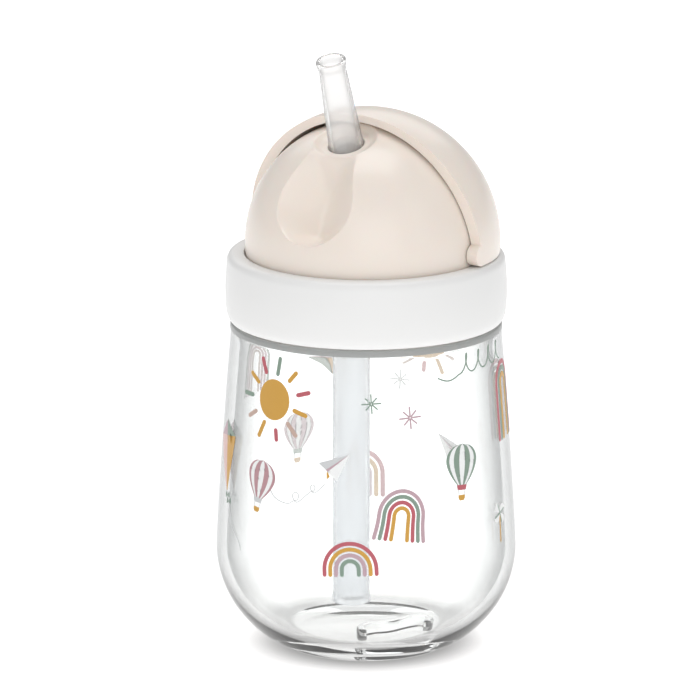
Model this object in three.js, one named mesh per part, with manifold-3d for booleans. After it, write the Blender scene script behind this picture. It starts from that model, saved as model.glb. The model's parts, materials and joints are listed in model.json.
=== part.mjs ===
// Sippy cup with a screw ring, a domed lid, a fold-down silicone mouthpiece and a sliding visor.
// Millimetres, +Z up. The origin is the centre of the base. The drinking side faces -Y.

import * as THREE from 'three';
import { mergeVertices } from 'three/addons/utils/BufferGeometryUtils.js';
import Module from 'manifold-3d';

const wasm = await Module();
wasm.setup();

// ---- Driving dimensions ----

const GAP = 0.3;                     // play left between pieces that touch
const ROUND_SEGMENTS = 48;           // sides of a large round piece
const SMALL_SEGMENTS = 20;           // sides of a small round piece
const DRAFT = 0.1;                   // taper that lets a moulding leave its mould

// Cup
const BELLY_RADIUS = 40.1;           // widest point of the cup
const BELLY_HEIGHT = 26.8;           // height of the widest point
const CORNER_RADIUS = 28.6;          // outer arc from the base up to the belly
const INNER_CORNER_RADIUS = 24.2;
const CUP_WALL = 2.8;
const CUP_TOP_RADIUS = 36.2;         // outer radius just under the ring
const CUP_TOP_HEIGHT = 84.4;
const CUP_SIDE_SHARE = 0.27;         // the side's curve turns in this share of the way up
const CUP_SIDE_PULL = 0.5;
const SHOULDER_HEIGHT = 88.4;        // flat step that the ring sits over
const SHOULDER_ROUND = 1.5;
const NECK_RADIUS = 33.8;
const NECK_BORE = 31.2;
const RIM_HEIGHT = 100.3;
const RIM_ROUND = 0.6;
const FLOOR_HEIGHT = 4.2;            // inner floor above the base
const BASE_RECESS_RADIUS = 17.4;     // shallow recess in the underside
const BASE_RECESS_DEPTH = 0.9;
const RIB_HEIGHT = 3.2;              // wavy rib on the inner floor
const RIB_WIDTH = 1.8;

// Screw thread: one ridge on the neck and one in the ring, half a pitch lower
const PITCH = 4;
const NECK_THREAD_START = 92.6;
const NECK_THREAD_TURNS = 1.1;
const RING_THREAD_TURNS = 1;
const THREAD_DEPTH = 1.35;
const THREAD_ROOT_WIDTH = 1.9;
const THREAD_CREST_WIDTH = 0.8;

// Screw ring
const RING_RADIUS = 37.5;
const RING_BORE = 35.6;
const RING_MOUTH = 32.7;             // hole in the top flange that the dome passes through
const RING_BOTTOM = 88.8;
const RING_TOP = 106.8;
const RING_FLANGE = 1.8;

// Lid: the dome is a sphere centred on the visor's axis
const PIVOT_HEIGHT = 109.9;
const DOME_RADIUS = 32.2;
const DOME_WALL = 1.8;
const DOME_SKIRT_RADIUS = 32.05;
const LID_FLANGE_RADIUS = 35.2;
const DOME_FLANGE_BOTTOM = 103.5;
const DOME_FLANGE_TOP = 104.7;
const PLATE_BOTTOM = 102.1;          // plate that closes the dome from below
const PLATE_TOP = 103.2;
const PLATE_RIM_WALL = 1.2;          // plug skirt and snap ring
const PLUG_BOTTOM = 95.5;
const SNAP_TOP = 105.4;
const BOSS_TOP = 110;                // tube on the plate that holds the mouthpiece's sleeve
const BOSS_WALL = 1.4;
const VENT_Y = 14;
const VENT_RADIUS = 1.9;
const GASKET_BOTTOM = RIM_HEIGHT + GAP;
const GASKET_TOP = PLATE_BOTTOM - GAP;

// Visor: a shell of a sphere around the dome
const VISOR_RADIUS = 35.6;
const VISOR_BORE = 32.6;
const VISOR_LEAN = 9;                // degrees that the front edge leans forward of upright
const KNUCKLE_RADIUS = 2.8;
const PIN_RADIUS = 1.7;
const PIN_REACH = 29.4;              // how near the axis's middle each pin ends

// Mouthpiece and straw. Heights are above the pivot axis where REL is in the name
const STRAW_OFFSET = 7.6;            // straw axis, forward of the cup's axis
const STRAW_RADIUS = 4.88;
const STRAW_BORE = 3.65;
const STRAW_BOTTOM = 12;
const STRAW_TOP = 114;
const SPOUT_TILT = 18;               // degrees that the mouthpiece leans forward
const SPOUT_LENGTH = 25.6;           // from the dome's surface to the rim
const SPOUT_BASE_RADIUS = 4.7;
const SPOUT_TIP_RADIUS = 3.8;
const SPOUT_WALL = 1.2;
const SPOUT_BORE = SPOUT_BASE_RADIUS - SPOUT_WALL;
const SPOUT_BEAD = 0.3;              // how far the bead below the rim stands out
const HOLE_FORWARD = 10.3;           // centre of the mouthpiece's hole
const HOLE_REL = 27.9;
const FOLD_HEIGHT = 2;               // where the mouthpiece kinks, above the hole's pad
const SLEEVE_RADIUS = 6.6;           // lower end, which holds the straw
const SLEEVE_BOTTOM = 98.3;
const COLLAR_RADIUS = 8;             // rests on the lid base's boss
const COLLAR_HEIGHT = 1.5;

// Scoop in the front of the dome, where the folded mouthpiece lies
const SCOOP_CHORD_ANGLE = 58;        // degrees from upright to the scoop floor's normal
const SCOOP_FLOOR = 22.6;            // floor's distance from the dome's centre
const SCOOP_BACK = 16.3;             // upright back wall, forward of the axis
const SCOOP_LEDGE = 5;               // lower ledge above the pivot axis
const SCOOP_HALF_WIDTH = 11;
const SCOOP_WIDEST = 61;             // degrees from upright
const SCOOP_END = 81.5;
const PAD_RADIUS = 6;                // flat pad around the mouthpiece's hole
const PAD_EDGE_CURVE = 0.3;          // how fast the pad's edge rises, per millimetre squared
const PAD_REACH = 0.6;               // radians from the mouthpiece's axis within which the pad can lie

const HALF_TURN = 180;
const radians = (degrees) => degrees * Math.PI / HALF_TURN;

// ---- Materials ----

function plastic(color, roughness, extra = {}) {
  return new THREE.MeshStandardMaterial({ color, roughness, metalness: 0, ...extra });
}

const clearPlastic = () => plastic(0xe6eaea, 0.08, { transparent: true, opacity: 0.35 });
const whitePlastic = () => plastic(0xededec, 0.38);
const blushPlastic = () => plastic(0xecdfd6, 0.32);
const paleSilicone = () => plastic(0xe4e2e1, 0.42, { transparent: true, opacity: 0.75 });
const frostedPlastic = () => plastic(0xdfe6ea, 0.3, { transparent: true, opacity: 0.6 });

// ---- Helpers for solids ----

function withoutSlivers(geometry) {
  geometry.deleteAttribute('normal');
  geometry.deleteAttribute('uv');
  const merged = mergeVertices(geometry, 1e-4);
  const index = Array.from(merged.index.array);
  const kept = [];
  for (let i = 0; i < index.length; i += 3) {
    const [a, b, c] = index.slice(i, i + 3);
    if (a !== b && b !== c && c !== a) {
      kept.push(a, b, c);
    }
  }
  merged.setIndex(kept);
  return merged;
}

function toSolid(geometry) {
  const merged = withoutSlivers(geometry);
  return new wasm.Manifold(new wasm.Mesh({
    numProp: 3,
    vertProperties: new Float32Array(merged.attributes.position.array),
    triVerts: new Uint32Array(merged.index.array),
  }));
}

function toGeometry(solid) {
  const mesh = solid.getMesh();
  const geometry = new THREE.BufferGeometry();
  geometry.setAttribute('position', new THREE.BufferAttribute(mesh.vertProperties, 3));
  geometry.setIndex(new THREE.BufferAttribute(mesh.triVerts, 1));
  return geometry;
}

// A profile of (radius, height) points, in the order that keeps the solid on its left, turned about Z.
function lathe(points, segments = ROUND_SEGMENTS) {
  return new THREE.LatheGeometry(points, segments).rotateX(Math.PI / 2);
}

function latheOutline(outline) {
  const curveSteps = 4;
  return lathe(outline.getPoints(curveSteps));
}

function cylinder(radius, bottom, top, segments = SMALL_SEGMENTS) {
  const middle = (bottom + top) / 2;
  return new THREE.CylinderGeometry(radius, radius, top - bottom, segments)
    .rotateX(Math.PI / 2).translate(0, 0, middle);
}

function sphere(radius, segments = SMALL_SEGMENTS) {
  return new THREE.SphereGeometry(radius, segments, segments / 2);
}

// A ridge that climbs around the Z axis. A positive depth stands outwards, a negative one inwards.
function threadRidge(rootRadius, depth, start, firstTurn, turns) {
  const stepsPerTurn = 48;
  const steps = Math.round(turns * stepsPerTurn);
  const rampSteps = 5;
  const embed = -0.4 * Math.sign(depth);
  const corners = 4;
  const positions = [];
  for (let i = 0; i <= steps; i += 1) {
    const turn = firstTurn + i / stepsPerTurn;
    const ramp = Math.min(1, (i + 1) / rampSteps, (steps - i + 1) / rampSteps);
    const crest = rootRadius + depth * ramp;
    const middle = start + PITCH * turn;
    const angle = 2 * Math.PI * turn;
    const section = [
      [rootRadius + embed, middle - THREAD_ROOT_WIDTH / 2],
      [crest, middle - THREAD_CREST_WIDTH / 2],
      [crest, middle + THREAD_CREST_WIDTH / 2],
      [rootRadius + embed, middle + THREAD_ROOT_WIDTH / 2],
    ];
    for (const [radius, height] of section) {
      positions.push(radius * Math.cos(angle), radius * Math.sin(angle), height);
    }
  }
  const index = [0, 1, 2, 0, 2, 3];
  for (let i = 0; i < steps; i += 1) {
    for (let k = 0; k < corners; k += 1) {
      const a = i * corners + k;
      const b = i * corners + (k + 1) % corners;
      index.push(a, a + corners, b, b, a + corners, b + corners);
    }
  }
  const last = steps * corners;
  index.push(last, last + 2, last + 1, last, last + 3, last + 2);
  if (depth < 0) {
    index.reverse();
  }
  const geometry = new THREE.BufferGeometry();
  geometry.setAttribute('position', new THREE.Float32BufferAttribute(positions, 3));
  geometry.setIndex(index);
  return geometry;
}

// Joins rings of points, from a pole to a pole, into one closed solid.
function ringsSolid(firstPole, rings, lastPole) {
  const columns = rings[0].length;
  const points = [firstPole, ...rings.flat(), lastPole];
  const index = [];
  for (let column = 0; column < columns; column += 1) {
    const next = (column + 1) % columns;
    index.push(0, 1 + column, 1 + next);
    for (let row = 0; row + 1 < rings.length; row += 1) {
      const here = 1 + row * columns;
      const below = here + columns;
      index.push(here + column, below + column, below + next);
      index.push(here + column, below + next, here + next);
    }
    const bottom = 1 + (rings.length - 1) * columns;
    index.push(bottom + column, points.length - 1, bottom + next);
  }
  return new THREE.BufferGeometry().setFromPoints(points).setIndex(index);
}

// ---- Cup ----

function cupOutline() {
  const cornerRadial = BELLY_RADIUS - CORNER_RADIUS;
  const innerBelly = BELLY_RADIUS - CUP_WALL;
  const innerCornerRadial = innerBelly - INNER_CORNER_RADIUS;
  const baseAngle = -Math.asin(BELLY_HEIGHT / CORNER_RADIUS);
  const floorAngle = -Math.asin((BELLY_HEIGHT - FLOOR_HEIGHT) / INNER_CORNER_RADIUS);
  const sideControl = BELLY_HEIGHT + CUP_SIDE_SHARE * (CUP_TOP_HEIGHT - BELLY_HEIGHT);
  const bellyControl = BELLY_RADIUS - CUP_SIDE_PULL;
  const shoulderRadius = CUP_TOP_RADIUS - DRAFT;
  const throat = 1;
  const outline = new THREE.Path();
  outline.moveTo(0, BASE_RECESS_DEPTH);
  outline.lineTo(BASE_RECESS_RADIUS - BASE_RECESS_DEPTH, BASE_RECESS_DEPTH);
  outline.lineTo(BASE_RECESS_RADIUS, 0);
  outline.absarc(cornerRadial, BELLY_HEIGHT, CORNER_RADIUS, baseAngle, 0);
  outline.quadraticCurveTo(bellyControl, sideControl, CUP_TOP_RADIUS, CUP_TOP_HEIGHT);
  outline.lineTo(shoulderRadius, SHOULDER_HEIGHT - SHOULDER_ROUND);
  outline.lineTo(shoulderRadius - SHOULDER_ROUND, SHOULDER_HEIGHT);
  outline.lineTo(NECK_RADIUS, SHOULDER_HEIGHT);
  outline.lineTo(NECK_RADIUS, RIM_HEIGHT - RIM_ROUND);
  outline.lineTo(NECK_RADIUS - RIM_ROUND, RIM_HEIGHT);
  outline.lineTo(NECK_BORE + RIM_ROUND, RIM_HEIGHT);
  outline.lineTo(NECK_BORE, RIM_HEIGHT - RIM_ROUND);
  outline.lineTo(NECK_BORE, SHOULDER_HEIGHT - throat);
  outline.lineTo(CUP_TOP_RADIUS - CUP_WALL, CUP_TOP_HEIGHT - throat);
  outline.quadraticCurveTo(bellyControl - CUP_WALL, sideControl, innerBelly, BELLY_HEIGHT);
  outline.absarc(innerCornerRadial, BELLY_HEIGHT, INNER_CORNER_RADIUS, 0, floorAngle, true);
  outline.lineTo(0, FLOOR_HEIGHT);
  return outline;
}

// The S-shaped rib on the inner floor: a band of even width along a plan curve.
function floorRib() {
  const plan = new THREE.CatmullRomCurve3([
    new THREE.Vector3(11, -19.4, 0),
    new THREE.Vector3(6.9, -15.5, 0),
    new THREE.Vector3(6.7, -9.3, 0),
    new THREE.Vector3(12.9, -7.8, 0),
    new THREE.Vector3(13.5, 0.3, 0),
    new THREE.Vector3(16.2, 3, 0),
    new THREE.Vector3(20.7, -0.9, 0),
  ]);
  const steps = 26;
  const side = (sign) => {
    const points = [];
    for (let i = 0; i <= steps; i += 1) {
      const at = plan.getPoint(i / steps);
      const along = plan.getTangent(i / steps);
      const offset = sign * RIB_WIDTH / 2;
      points.push(new THREE.Vector2(at.x - along.y * offset, at.y + along.x * offset));
    }
    return points;
  };
  const outline = new THREE.Shape([...side(-1), ...side(1).reverse()]);
  const embed = 0.6;
  return new THREE.ExtrudeGeometry(outline, { depth: RIB_HEIGHT + embed, bevelEnabled: false })
    .translate(0, 0, FLOOR_HEIGHT - embed);
}

function cup() {
  const thread = threadRidge(NECK_RADIUS, THREAD_DEPTH, NECK_THREAD_START, 0, NECK_THREAD_TURNS);
  return toGeometry(toSolid(latheOutline(cupOutline())).add(toSolid(thread)).add(toSolid(floorRib())));
}

// ---- Screw ring ----

function ringOutline() {
  const lipRadius = RING_BORE + 0.5;
  const lipRise = 0.8;
  const bottomRound = 5;
  const topRound = 2.4;
  const topEdge = RING_RADIUS - 0.4;
  const bulge = 0.2;
  const outline = new THREE.Path();
  outline.moveTo(RING_BORE, RING_BOTTOM);
  outline.lineTo(lipRadius, RING_BOTTOM);
  outline.quadraticCurveTo(
    RING_RADIUS - bulge, RING_BOTTOM + lipRise, RING_RADIUS - DRAFT, RING_BOTTOM + bottomRound);
  outline.quadraticCurveTo(RING_RADIUS + bulge, (RING_BOTTOM + RING_TOP) / 2, topEdge, RING_TOP - topRound);
  outline.quadraticCurveTo(topEdge - DRAFT, RING_TOP, topEdge - topRound, RING_TOP);
  outline.lineTo(RING_MOUTH, RING_TOP);
  outline.lineTo(RING_MOUTH, RING_TOP - RING_FLANGE);
  outline.lineTo(RING_BORE, RING_TOP - RING_FLANGE);
  outline.lineTo(RING_BORE, RING_BOTTOM);
  return outline;
}

function screwRing() {
  const firstTurn = NECK_THREAD_TURNS - RING_THREAD_TURNS;
  const start = NECK_THREAD_START - PITCH / 2;
  const thread = threadRidge(RING_BORE, -THREAD_DEPTH, start, firstTurn, RING_THREAD_TURNS);
  return toGeometry(toSolid(latheOutline(ringOutline())).add(toSolid(thread)));
}

// ---- Dome ----

const spoutAxis = new THREE.Vector3(0, -Math.sin(radians(SPOUT_TILT)), Math.cos(radians(SPOUT_TILT)));
const holeCentre = new THREE.Vector3(0, -HOLE_FORWARD, HOLE_REL);

// How far a direction is from the mouthpiece's axis, on the plane of the hole's pad.
function padRadius(direction) {
  const padDistance = holeCentre.dot(spoutAxis);
  const onPad = direction.clone().multiplyScalar(padDistance / direction.dot(spoutAxis));
  return { floor: onPad.length(), fromAxis: onPad.distanceTo(holeCentre) };
}

function scoopHalfWidth(angle) {
  const backAngle = 29;
  const backHalfWidth = 6.8;
  if (angle < SCOOP_WIDEST) {
    const rise = THREE.MathUtils.smoothstep(angle, backAngle, SCOOP_WIDEST);
    return backHalfWidth + (SCOOP_HALF_WIDTH - backHalfWidth) * rise;
  }
  const fall = Math.min(0.999, (angle - SCOOP_WIDEST) / (SCOOP_END - SCOOP_WIDEST));
  return SCOOP_HALF_WIDTH * Math.sqrt(1 - fall * fall);
}

function smoothMax(a, b) {
  const blend = 1.2;
  return (a + b + Math.hypot(a - b, blend)) / 2;
}

// The scoop's floor along its middle: an upright back wall, a straight chord and a level ledge.
function scoopFloor(angle) {
  const back = SCOOP_BACK / Math.sin(angle);
  const chord = SCOOP_FLOOR / Math.cos(angle - radians(SCOOP_CHORD_ANGLE));
  const ledge = SCOOP_LEDGE / Math.cos(angle);
  return smoothMax(smoothMax(back, chord), ledge);
}

// Distance of the dome's outer surface from its centre, in one direction.
function domeSurface(direction) {
  let surface = DOME_RADIUS;
  if (direction.angleTo(spoutAxis) < PAD_REACH) {
    const pad = padRadius(direction);
    const padEdge = Math.max(0, pad.fromAxis - PAD_RADIUS);
    surface = Math.min(surface, pad.floor + PAD_EDGE_CURVE * padEdge * padEdge);
  }
  const angle = Math.atan2(-direction.y, direction.z);
  if (angle > 0 && angle < radians(SCOOP_END)) {
    const floor = scoopFloor(angle);
    const across = DOME_RADIUS * direction.x / scoopHalfWidth(THREE.MathUtils.radToDeg(angle));
    if (floor < DOME_RADIUS) {
      surface = Math.min(surface, floor + (DOME_RADIUS - floor) * across * across);
    }
  }
  return surface;
}

// The inner surface keeps the wall's thickness from the nearest of the outer points around it.
function domeInside(direction) {
  const reach = radians(3.2);
  const probes = 8;
  const side = new THREE.Vector3(1, 0, 0).cross(direction).normalize();
  const other = direction.clone().cross(side);
  let nearest = domeSurface(direction);
  for (let i = 0; i < probes; i += 1) {
    const turn = 2 * Math.PI * i / probes;
    const probe = direction.clone()
      .addScaledVector(side, reach * Math.cos(turn))
      .addScaledVector(other, reach * Math.sin(turn))
      .normalize();
    nearest = Math.min(nearest, domeSurface(probe));
  }
  return nearest - DOME_WALL;
}

// Columns are close together over the scoop and wide apart behind it.
function domeColumns() {
  const frontHalf = 48;
  const frontCount = 32;
  const backCount = 26;
  const angles = [];
  for (let i = 0; i < frontCount; i += 1) {
    angles.push(-frontHalf + 2 * frontHalf * i / frontCount);
  }
  for (let i = 0; i < backCount; i += 1) {
    angles.push(frontHalf + (2 * HALF_TURN - 2 * frontHalf) * i / backCount);
  }
  return angles.map((angle) => radians(angle - HALF_TURN / 2));
}

function domeShell() {
  const columns = domeColumns();
  const centre = new THREE.Vector3(0, 0, PIVOT_HEIGHT);
  const outerRows = 24;
  const innerRows = 12;
  const lowestRel = RING_TOP - PIVOT_HEIGHT;
  const outerEnd = Math.acos(lowestRel / DOME_RADIUS);
  const sphereRing = (polar, surface) => columns.map((turn) => {
    const direction = new THREE.Vector3(
      Math.sin(polar) * Math.cos(turn), Math.sin(polar) * Math.sin(turn), Math.cos(polar));
    return direction.multiplyScalar(surface(direction)).add(centre);
  });
  const flatRing = (radius, height) => columns.map((turn) => new THREE.Vector3(
    radius * Math.cos(turn), radius * Math.sin(turn), height));
  const rings = [];
  for (let row = 1; row <= outerRows; row += 1) {
    rings.push(sphereRing(outerEnd * row / outerRows, domeSurface));
  }
  const skirtBore = DOME_SKIRT_RADIUS - DOME_WALL;
  rings.push(flatRing(DOME_SKIRT_RADIUS, DOME_FLANGE_TOP));
  rings.push(flatRing(LID_FLANGE_RADIUS, DOME_FLANGE_TOP));
  rings.push(flatRing(LID_FLANGE_RADIUS, DOME_FLANGE_BOTTOM));
  rings.push(flatRing(skirtBore, DOME_FLANGE_BOTTOM));
  for (let row = innerRows; row >= 1; row -= 1) {
    rings.push(sphereRing(Math.PI / 2 * row / innerRows, domeInside));
  }
  const up = new THREE.Vector3(0, 0, 1);
  const top = up.clone().multiplyScalar(domeSurface(up)).add(centre);
  const innerTop = up.clone().multiplyScalar(domeInside(up)).add(centre);
  const shell = toSolid(ringsSolid(top, rings, innerTop));
  return toGeometry(shell.subtract(spoutHole()).subtract(pinSockets()));
}

function spoutHole() {
  const reach = 9;
  return toSolid(cylinder(SPOUT_BASE_RADIUS + GAP, -reach, reach)
    .rotateX(radians(SPOUT_TILT))
    .translate(0, -HOLE_FORWARD, PIVOT_HEIGHT + HOLE_REL));
}

function pinSockets() {
  const reach = DOME_RADIUS + 1;
  const solid = toSolid(cylinder(PIN_RADIUS + GAP, -reach, reach).rotateY(Math.PI / 2)
    .translate(0, 0, PIVOT_HEIGHT));
  const apart = 2 * (PIN_REACH - 2);
  const across = 4 * PIN_RADIUS;
  const middle = toSolid(new THREE.BoxGeometry(apart, across, across).translate(0, 0, PIVOT_HEIGHT));
  return solid.subtract(middle);
}

// ---- Visor ----

function visor() {
  const shellSegments = 48;
  const span = 2 * VISOR_RADIUS + 2;
  const hollow = toSolid(sphere(VISOR_BORE, shellSegments));
  const shell = toSolid(sphere(VISOR_RADIUS, shellSegments)).subtract(hollow);
  const behindEdge = toSolid(new THREE.BoxGeometry(span, span, 2 * span)
    .translate(0, span / 2, 0).rotateX(radians(VISOR_LEAN)));
  const floorRel = RING_TOP + GAP - PIVOT_HEIGHT;
  const belowRing = toSolid(new THREE.BoxGeometry(span, 2 * span, span).translate(0, 0, floorRel - span / 2));
  const knuckles = toSolid(cylinder(KNUCKLE_RADIUS, -span / 2, span / 2).rotateY(Math.PI / 2));
  let solid = shell.intersect(behindEdge.subtract(belowRing).add(knuckles));
  const pinRoot = VISOR_BORE + 0.8;
  const pinMiddle = (PIN_REACH + pinRoot) / 2;
  const pinLength = pinRoot - PIN_REACH;
  for (const side of [-1, 1]) {
    solid = solid.add(toSolid(cylinder(PIN_RADIUS, -pinLength / 2, pinLength / 2)
      .rotateY(Math.PI / 2).translate(side * pinMiddle, 0, 0)));
  }
  return toGeometry(solid).translate(0, 0, PIVOT_HEIGHT);
}

// ---- Lid base, gasket and vent valve ----

function lidBase() {
  const plugOuter = NECK_BORE - 0.4;
  const plugInner = plugOuter - PLATE_RIM_WALL;
  const snapOuter = DOME_SKIRT_RADIUS - DOME_WALL - GAP;
  const snapInner = snapOuter - PLATE_RIM_WALL;
  const profile = [
    [0, PLATE_BOTTOM], [plugInner, PLATE_BOTTOM], [plugInner, PLUG_BOTTOM], [plugOuter, PLUG_BOTTOM],
    [plugOuter, PLATE_BOTTOM], [LID_FLANGE_RADIUS, PLATE_BOTTOM], [LID_FLANGE_RADIUS, PLATE_TOP],
    [snapOuter, PLATE_TOP], [snapOuter, SNAP_TOP], [snapInner, SNAP_TOP], [snapInner, PLATE_TOP],
    [0, PLATE_TOP],
  ].map(([radius, height]) => new THREE.Vector2(radius, height));
  const boreRadius = SLEEVE_RADIUS + GAP;
  const bossBottom = SLEEVE_BOTTOM + 0.7;
  const boss = cylinder(boreRadius + BOSS_WALL, bossBottom, BOSS_TOP).translate(0, -STRAW_OFFSET, 0);
  const bore = cylinder(boreRadius, bossBottom - 1, BOSS_TOP + 1).translate(0, -STRAW_OFFSET, 0);
  const vent = cylinder(VENT_RADIUS + GAP, PLATE_BOTTOM - 1, PLATE_TOP + 1).translate(0, VENT_Y, 0);
  const body = toSolid(lathe(profile)).add(toSolid(boss));
  return toGeometry(body.subtract(toSolid(bore)).subtract(toSolid(vent)));
}

function lidGasket() {
  const inner = NECK_BORE - 0.1;
  const outer = NECK_RADIUS + 1;
  const edge = 0.35;
  const profile = [
    [inner, GASKET_BOTTOM], [outer - edge, GASKET_BOTTOM], [outer, GASKET_BOTTOM + edge],
    [outer, GASKET_TOP - edge], [outer - edge, GASKET_TOP], [inner, GASKET_TOP], [inner, GASKET_BOTTOM],
  ].map(([radius, height]) => new THREE.Vector2(radius, height));
  return lathe(profile);
}

function ventValve() {
  const capRadius = 4;
  const capBottom = PLATE_TOP + GAP;
  const capTop = capBottom + 1;
  const beadTop = PLATE_BOTTOM - GAP;
  const tipBottom = beadTop - 4.2;
  const profile = [
    [0, tipBottom], [0.6, tipBottom], [VENT_RADIUS, beadTop - 1.6], [VENT_RADIUS + 0.8, beadTop - 1.2],
    [VENT_RADIUS + 0.4, beadTop], [VENT_RADIUS, beadTop], [VENT_RADIUS, capBottom], [capRadius, capBottom],
    [capRadius - 0.6, capTop - 0.2], [0, capTop],
  ].map(([radius, height]) => new THREE.Vector2(radius, height));
  return lathe(profile, SMALL_SEGMENTS);
}

// ---- Mouthpiece and straw ----

// The fixed end: a sleeve that grips the straw, a collar on the lid base, and an elbow out to the hole.
function spoutBase() {
  const elbowRel = HOLE_REL - (HOLE_FORWARD - STRAW_OFFSET) / Math.tan(radians(SPOUT_TILT));
  const elbow = PIVOT_HEIGHT + elbowRel;
  const armLength = (HOLE_FORWARD - STRAW_OFFSET) / Math.sin(radians(SPOUT_TILT));
  const splitAt = armLength + FOLD_HEIGHT - GAP / 2;
  const collarBottom = BOSS_TOP + GAP;
  const collarTop = collarBottom + COLLAR_HEIGHT;
  const strawSeat = STRAW_TOP + GAP;
  const strawSocket = STRAW_RADIUS + GAP;
  const taperBottom = 117;
  const taperTop = 120;
  const outer = [
    [0, SLEEVE_BOTTOM], [SLEEVE_RADIUS, SLEEVE_BOTTOM], [SLEEVE_RADIUS, collarBottom],
    [COLLAR_RADIUS, collarBottom], [COLLAR_RADIUS, collarTop], [SLEEVE_RADIUS, collarTop],
    [SLEEVE_RADIUS, taperBottom], [SPOUT_BASE_RADIUS, taperTop], [SPOUT_BASE_RADIUS, elbow], [0, elbow],
  ].map(([radius, height]) => new THREE.Vector2(radius, height));
  const bore = [
    [0, SLEEVE_BOTTOM - 1], [strawSocket, SLEEVE_BOTTOM - 1], [strawSocket, strawSeat],
    [SPOUT_BORE, strawSeat], [SPOUT_BORE, elbow], [0, elbow],
  ].map(([radius, height]) => new THREE.Vector2(radius, height));
  const arm = (radius, length) => toSolid(cylinder(radius, 0, length)
    .rotateX(radians(SPOUT_TILT)).translate(0, 0, elbow));
  const joint = (radius) => toSolid(sphere(radius).rotateX(Math.PI / 2).translate(0, 0, elbow));
  const body = toSolid(lathe(outer, SMALL_SEGMENTS)).add(arm(SPOUT_BASE_RADIUS, splitAt))
    .add(joint(SPOUT_BASE_RADIUS));
  const hollow = toSolid(lathe(bore, SMALL_SEGMENTS)).add(arm(SPOUT_BORE, splitAt + 1))
    .add(joint(SPOUT_BORE));
  return toGeometry(body.subtract(hollow)).translate(0, -STRAW_OFFSET, 0);
}

// The end that folds down, modelled along Z from the hole's pad.
function spoutTip() {
  const start = FOLD_HEIGHT + GAP / 2;
  const slope = (SPOUT_BASE_RADIUS - SPOUT_TIP_RADIUS) / SPOUT_LENGTH;
  const radiusAt = (height) => SPOUT_BASE_RADIUS - slope * height;
  const beadAt = SPOUT_LENGTH - 1.6;
  const beadBottom = beadAt - 0.6;
  const rimBottom = SPOUT_LENGTH - 0.5;
  const rimRound = 0.2;
  const topBore = SPOUT_TIP_RADIUS - SPOUT_WALL;
  const profile = [
    [SPOUT_BORE, start], [radiusAt(start), start], [radiusAt(beadBottom), beadBottom],
    [radiusAt(beadAt) + SPOUT_BEAD, beadAt], [radiusAt(rimBottom) + SPOUT_BEAD, rimBottom],
    [SPOUT_TIP_RADIUS - rimRound, SPOUT_LENGTH], [topBore + rimRound, SPOUT_LENGTH],
    [topBore, SPOUT_LENGTH - rimRound], [SPOUT_BORE, start],
  ].map(([radius, height]) => new THREE.Vector2(radius, height));
  return lathe(profile, SMALL_SEGMENTS);
}

function strawTube() {
  const flare = 0.25;
  const flareHeight = 1.6;
  const profile = [
    [STRAW_BORE, STRAW_BOTTOM], [STRAW_RADIUS + flare, STRAW_BOTTOM],
    [STRAW_RADIUS + flare, STRAW_BOTTOM + flareHeight], [STRAW_RADIUS, STRAW_BOTTOM + flareHeight + 1],
    [STRAW_RADIUS, STRAW_TOP], [STRAW_BORE, STRAW_TOP], [STRAW_BORE, STRAW_BOTTOM],
  ].map(([radius, height]) => new THREE.Vector2(radius, height));
  return lathe(profile, SMALL_SEGMENTS).translate(0, -STRAW_OFFSET, 0);
}

// ---- Assembly ----

function piece(name, geometry, material) {
  const mesh = new THREE.Mesh(geometry, material);
  mesh.name = name;
  return mesh;
}

const sippyCup = new THREE.Group();
sippyCup.add(piece('cup', cup(), clearPlastic()));
sippyCup.add(piece('screw_ring', screwRing(), whitePlastic()));

const lid = new THREE.Group();
lid.add(piece('lid_gasket', lidGasket(), paleSilicone()));
lid.add(piece('lid_base', lidBase(), blushPlastic()));
lid.add(piece('vent_valve', ventValve().translate(0, VENT_Y, 0), paleSilicone()));
lid.add(piece('dome_shell', domeShell(), blushPlastic()));
lid.add(piece('visor', visor(), blushPlastic()));
lid.add(piece('spout_base', spoutBase(), paleSilicone()));
lid.add(piece('straw_tube', strawTube(), frostedPlastic()));

const tip = piece('spout_tip', spoutTip(), paleSilicone());
tip.position.set(0, -HOLE_FORWARD, PIVOT_HEIGHT + HOLE_REL);
tip.rotation.x = radians(SPOUT_TILT);
lid.add(tip);
sippyCup.add(lid);

export default sippyCup;
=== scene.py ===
"""Looks of the sippy cup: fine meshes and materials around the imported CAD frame. Metres, +Z up."""

import json
import math

import bmesh
import bpy
import numpy as np
from mathutils import Matrix, Vector


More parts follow.
